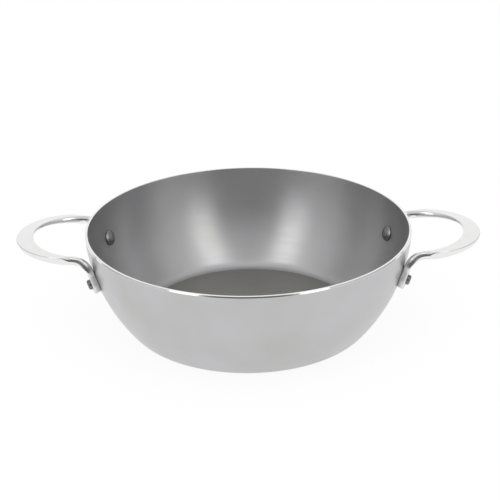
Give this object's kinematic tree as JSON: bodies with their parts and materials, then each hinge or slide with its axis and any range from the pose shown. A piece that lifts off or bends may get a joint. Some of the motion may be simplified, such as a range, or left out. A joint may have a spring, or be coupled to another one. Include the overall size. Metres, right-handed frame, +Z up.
{
  "type": "carbon steel pan",
  "caption": "Deep round carbon steel pan with a flat base, bowed flaring walls and riveted loop handles at both sides, for frying, braising and serving.",
  "frame": {"origin": "centre of the underside of the base, on the surface that the pan stands on", "axes": "+Z up out of the pan, +X along the line through both handles, +Y to the back"},
  "size_m": [0.3984, 0.2798, 0.0894],
  "materials": {
    "carbon_steel": "satin, with a fine grain that runs round the pan",
    "polished_stainless": "polished",
    "rivet_steel": "satin"
  },
  "bodies": {
    "root": {"pan_body": "carbon_steel", "handle_left": "polished_stainless", "handle_right": "polished_stainless", "rivet_left_front": "rivet_steel", "rivet_left_back": "rivet_steel", "rivet_right_front": "rivet_steel", "rivet_right_back": "rivet_steel"}
  },
  "joints": []
}
